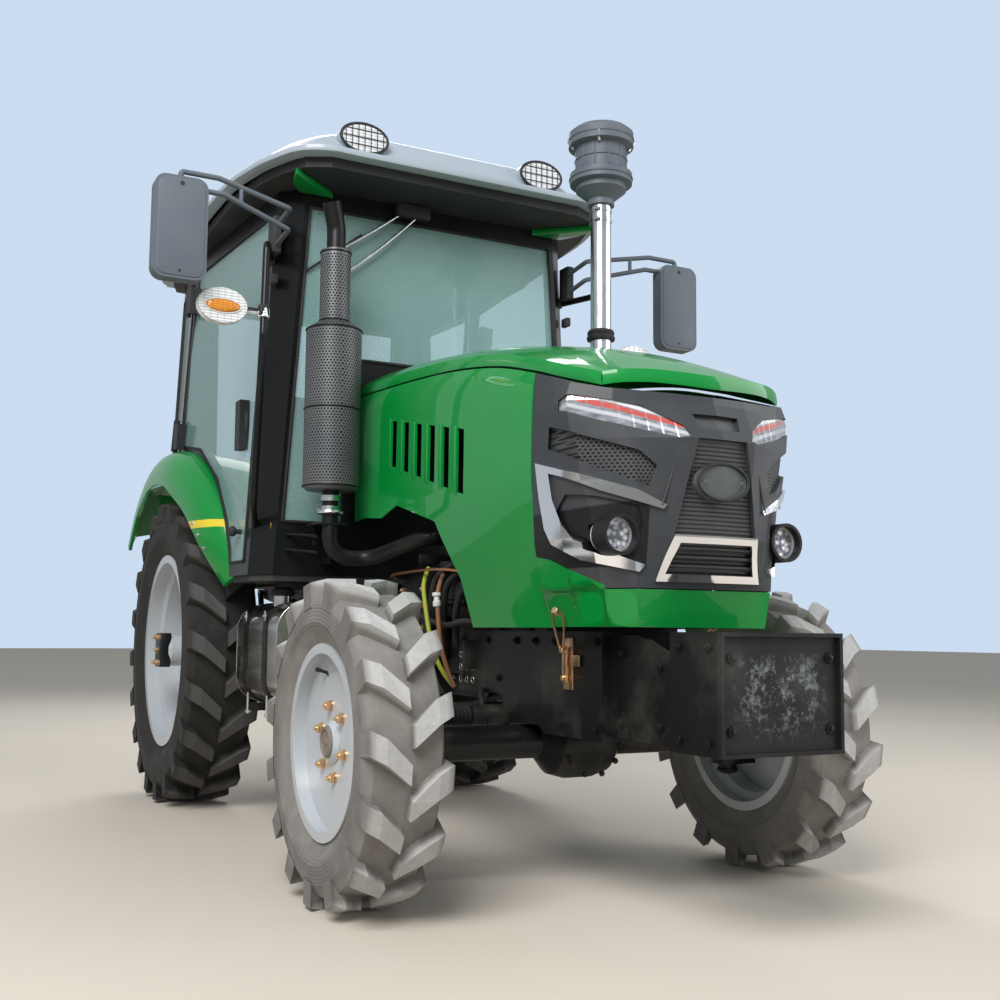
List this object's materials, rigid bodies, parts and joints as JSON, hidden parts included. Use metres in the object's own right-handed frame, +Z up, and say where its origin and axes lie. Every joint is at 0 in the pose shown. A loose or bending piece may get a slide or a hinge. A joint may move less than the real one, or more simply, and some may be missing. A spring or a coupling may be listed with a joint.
{
  "type": "tractor",
  "caption": "Small farm tractor with a glazed cab, green hood, grey mask, exhaust stack, front ballast and rear linkage; it rolls, steers and opens.",
  "frame": {"origin": "on the ground, under the middle of the tractor's box in X and Y", "axes": "+Z up, the front faces -Y and the driver's right is -X; the rear axle runs along X"},
  "size_m": [2.384, 4.1499, 2.775],
  "materials": {
    "green_paint": "gloss",
    "grey_paint": "satin",
    "black_plastic": "matt",
    "black_paint": "satin",
    "white_paint": "gloss",
    "tyre_rubber": "matt",
    "bright_steel": "satin",
    "tank_metal": "satin",
    "chrome": "polished",
    "plate_grey": "gloss",
    "lens": "clear",
    "red_lens": "gloss",
    "cab_glass": "clear",
    "silver_roof": "gloss",
    "seat_cloth": "woven"
  },
  "bodies": {
    "chassis": {"ballast_box": "black_paint", "cab_floor": "black_paint", "cab_frame": "black_paint", "cab_lamps": "lens", "cab_roof": "silver_roof", "cab_windows": "cab_glass", "dashboard": "black_plastic", "drawbar": "black_paint", "engine": "black_paint", "exhaust_pipe": "black_paint", "fender_left": "green_paint", "fender_right": "green_paint", "front_axle_beam": "black_paint", "front_frame": "black_paint", "fuel_tank": "tank_metal", "gearbox": "black_paint", "grab_tubes": "black_paint", "intake_pipe": "bright_steel", "left_steps": "black_paint", "lift_housing": "black_paint", "mirrors": "black_plastic", "muffler_guard": "black_paint", "precleaner": "black_plastic", "pto_shaft": "bright_steel", "rear_axle_housing": "black_paint", "roof_liner": "black_plastic", "seat_back": "seat_cloth", "seat_cushion": "seat_cloth", "steering_wheel": "black_plastic", "tail_lamps": "red_lens", "tank_straps": "black_paint", "top_link": "black_paint"},
    "hood": {"hood": "green_paint", "hood_lower_front": "green_paint", "mask": "grey_paint", "grille_mesh": "black_plastic", "chrome_trim": "chrome", "oval_plate": "plate_grey", "front_lamps": "lens"},
    "door_right": {"door_glass_right": "cab_glass", "door_fittings_right": "black_plastic"},
    "door_left": {"door_glass_left": "cab_glass", "door_fittings_left": "black_plastic"},
    "knuckle_right": {"knuckle_right": "black_paint"},
    "knuckle_left": {"knuckle_left": "black_paint"},
    "steering_rod": {"steering_rod": "bright_steel"},
    "front_wheel_right": {"front_tyre_right": "tyre_rubber", "front_rim_right": "white_paint"},
    "front_wheel_left": {"front_tyre_left": "tyre_rubber", "front_rim_left": "white_paint"},
    "rear_wheel_right": {"rear_tyre_right": "tyre_rubber", "rear_rim_right": "white_paint"},
    "rear_wheel_left": {"rear_tyre_left": "tyre_rubber", "rear_rim_left": "white_paint"},
    "lower_links": {"lower_links": "black_paint"},
    "rockshaft": {"rockshaft": "black_paint"},
    "lift_rods": {"lift_rods": "black_paint"}
  },
  "joints": [
    {"name": "steer_right", "type": "hinge", "parent": "chassis", "child": "knuckle_right", "pos_m": [-0.61, -1.075, 0.469], "axis": [0, 0, 1], "range_deg": [-38, 38]},
    {"name": "steer_left", "type": "hinge", "parent": "chassis", "child": "knuckle_left", "pos_m": [0.61, -1.075, 0.469], "axis": [0, 0, 1], "range_deg": [-38, 38]},
    {"name": "steering_rod_slide", "type": "slide", "parent": "chassis", "child": "steering_rod", "axis": [1, 0, 0], "range_m": [-0.094, 0.094]},
    {"name": "front_wheel_right_spin", "type": "hinge", "parent": "knuckle_right", "child": "front_wheel_right", "pos_m": [-0.75, -1.075, 0.469], "axis": [1, 0, 0], "continuous": true},
    {"name": "front_wheel_left_spin", "type": "hinge", "parent": "knuckle_left", "child": "front_wheel_left", "pos_m": [0.75, -1.075, 0.469], "axis": [1, 0, 0], "continuous": true},
    {"name": "rear_wheel_right_spin", "type": "hinge", "parent": "chassis", "child": "rear_wheel_right", "pos_m": [-0.6925, 1.275, 0.69], "axis": [1, 0, 0], "continuous": true},
    {"name": "rear_wheel_left_spin", "type": "hinge", "parent": "chassis", "child": "rear_wheel_left", "pos_m": [0.6925, 1.275, 0.69], "axis": [1, 0, 0], "continuous": true},
    {"name": "hood_hinge", "type": "hinge", "parent": "chassis", "child": "hood", "pos_m": [0, 0.018, 1.822], "axis": [-1, 0, 0], "range_deg": [0, 50]},
    {"name": "door_right_hinge", "type": "hinge", "parent": "chassis", "child": "door_right", "pos_m": [-0.775, 1.175, 2.33], "axis": [-0.0265, 0.1795, -0.9834], "range_deg": [0, 65]},
    {"name": "door_left_hinge", "type": "hinge", "parent": "chassis", "child": "door_left", "pos_m": [0.775, 1.175, 2.33], "axis": [-0.0265, -0.1795, 0.9834], "range_deg": [0, 65]},
    {"name": "lower_links_lift", "type": "hinge", "parent": "chassis", "child": "lower_links", "pos_m": [0, 1.43, 0.44], "axis": [1, 0, 0], "range_deg": [-12, 18]},
    {"name": "rockshaft_turn", "type": "hinge", "parent": "chassis", "child": "rockshaft", "pos_m": [0, 1.64, 0.96], "axis": [1, 0, 0], "range_deg": [-16.1, 24.1]},
    {"name": "lift_rods_swing", "type": "hinge", "parent": "rockshaft", "child": "lift_rods", "pos_m": [0, 1.89901, 0.98266], "axis": [1, 0, 0], "range_deg": [-22.8, 15.3]}
  ],
  "couplings": [
    {"joint": "steer_left", "follows": "steer_right", "ratio": 1},
    {"joint": "steering_rod_slide", "follows": "steer_right", "m_per_rad": -0.14},
    {"joint": "rockshaft_turn", "follows": "lower_links_lift", "ratio": 1.33},
    {"joint": "lift_rods_swing", "follows": "lower_links_lift", "ratio": -1.26}
  ]
}
